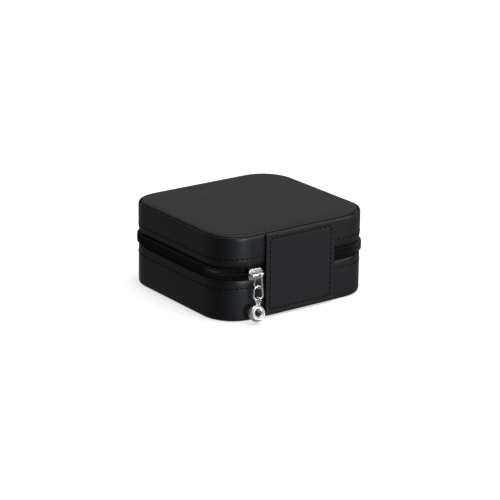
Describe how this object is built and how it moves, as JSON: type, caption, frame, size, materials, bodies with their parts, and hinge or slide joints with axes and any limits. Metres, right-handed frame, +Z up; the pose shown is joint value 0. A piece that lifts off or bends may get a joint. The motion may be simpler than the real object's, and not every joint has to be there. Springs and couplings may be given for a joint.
{
  "type": "leather jewellery case",
  "caption": "Small square leather jewellery case with soft corners, a zip round its middle, a sewn hinge patch, and a metal zip pull with ring, link and round charm.",
  "frame": {"origin": "middle of the case's underside, on the surface it stands on", "axes": "+Z up; the hinge side faces +Y and the front faces -Y, so the zip slider hangs on the +Y side; +X completes a right-handed frame"},
  "size_m": [0.1016, 0.1051, 0.0473],
  "materials": {
    "base_leather": "smooth black coated leather, semi-matt, very fine grain",
    "lid_leather": "smooth black coated leather, semi-matt, very fine grain",
    "top_leather": "smooth black coated leather over foam, semi-matt",
    "patch_leather": "smooth black coated leather, sewn round its edge with black thread",
    "strap_leather": "thin black coated leather",
    "board": "grey pressed board, matt",
    "lining_velvet": "short-pile black velvet",
    "insert_velvet": "short-pile black velvet over board or foam",
    "zip_cloth": "black woven tape",
    "zip_nylon": "black nylon coil with sewing thread",
    "foam": "white soft foam",
    "nickel": "polished nickel plate"
  },
  "bodies": {
    "base": {"base_bottom_cover": "base_leather", "base_side_band": "base_leather", "base_core": "board", "base_lining": "lining_velvet", "centre_divider": "insert_velvet", "ring_roll_1": "insert_velvet", "ring_roll_2": "insert_velvet", "ring_roll_3": "insert_velvet", "ring_roll_4": "insert_velvet", "ring_roll_5": "insert_velvet", "ring_roll_6": "insert_velvet", "ring_roll_7": "insert_velvet", "zip_tape_base": "zip_cloth", "zip_chain_base": "zip_nylon", "zip_end_tab": "zip_cloth", "hinge_patch": "patch_leather", "hinge_lining": "lining_velvet"},
    "lid": {"lid_top_cover": "top_leather", "lid_top_foam": "foam", "lid_side_band": "lid_leather", "lid_core": "board", "lid_lining": "lining_velvet", "lid_pocket": "lining_velvet", "pocket_elastic": "zip_cloth", "zip_tape_lid": "zip_cloth", "zip_chain_lid": "zip_nylon", "necklace_strap_1": "strap_leather", "necklace_strap_2": "strap_leather", "necklace_strap_3": "strap_leather", "strap_snap_1": "nickel", "strap_snap_2": "nickel", "strap_snap_3": "nickel"},
    "slider": {"slider_body": "nickel"},
    "ring": {"pull_ring": "nickel"},
    "link": {"pull_link": "nickel"},
    "charm": {"charm_ring": "nickel", "charm": "nickel"},
    "tray_divider_1": {"tray_divider_1": "insert_velvet"},
    "tray_divider_2": {"tray_divider_2": "insert_velvet"}
  },
  "joints": [
    {"name": "lid_hinge", "type": "hinge", "parent": "base", "child": "lid", "pos_m": [0, 0.05, 0.02635], "axis": [-1, 0, 0], "range_deg": [0, 110], "deforming": ["hinge_patch", "hinge_lining", "zip_tape_base", "zip_tape_lid", "zip_chain_base", "zip_chain_lid"]},
    {"name": "slider_travel", "type": "hinge", "parent": "base", "child": "slider", "pos_m": [0.031, 0.0285, 0.02635], "axis": [0, 0, -1], "range_deg": [0, 90]},
    {"name": "ring_swing", "type": "hinge", "parent": "slider", "child": "ring", "pos_m": [0.0313, 0.052, 0.02635], "axis": [1, 0, 0], "range_deg": [0, 100]},
    {"name": "link_swing", "type": "hinge", "parent": "ring", "child": "link", "pos_m": [0.0313, 0.052, 0.01915], "axis": [0.2588, -0.9659, 0], "range_deg": [0, 45]},
    {"name": "charm_swing", "type": "hinge", "parent": "link", "child": "charm", "pos_m": [0.0313, 0.052, 0.0129], "axis": [1, 0, 0], "range_deg": [0, 60]},
    {"name": "divider_1_lift", "type": "slide", "parent": "base", "child": "tray_divider_1", "axis": [0, 0, 1], "range_m": [0, 0.017]},
    {"name": "divider_2_lift", "type": "slide", "parent": "base", "child": "tray_divider_2", "axis": [0, 0, 1], "range_m": [0, 0.017]}
  ]
}
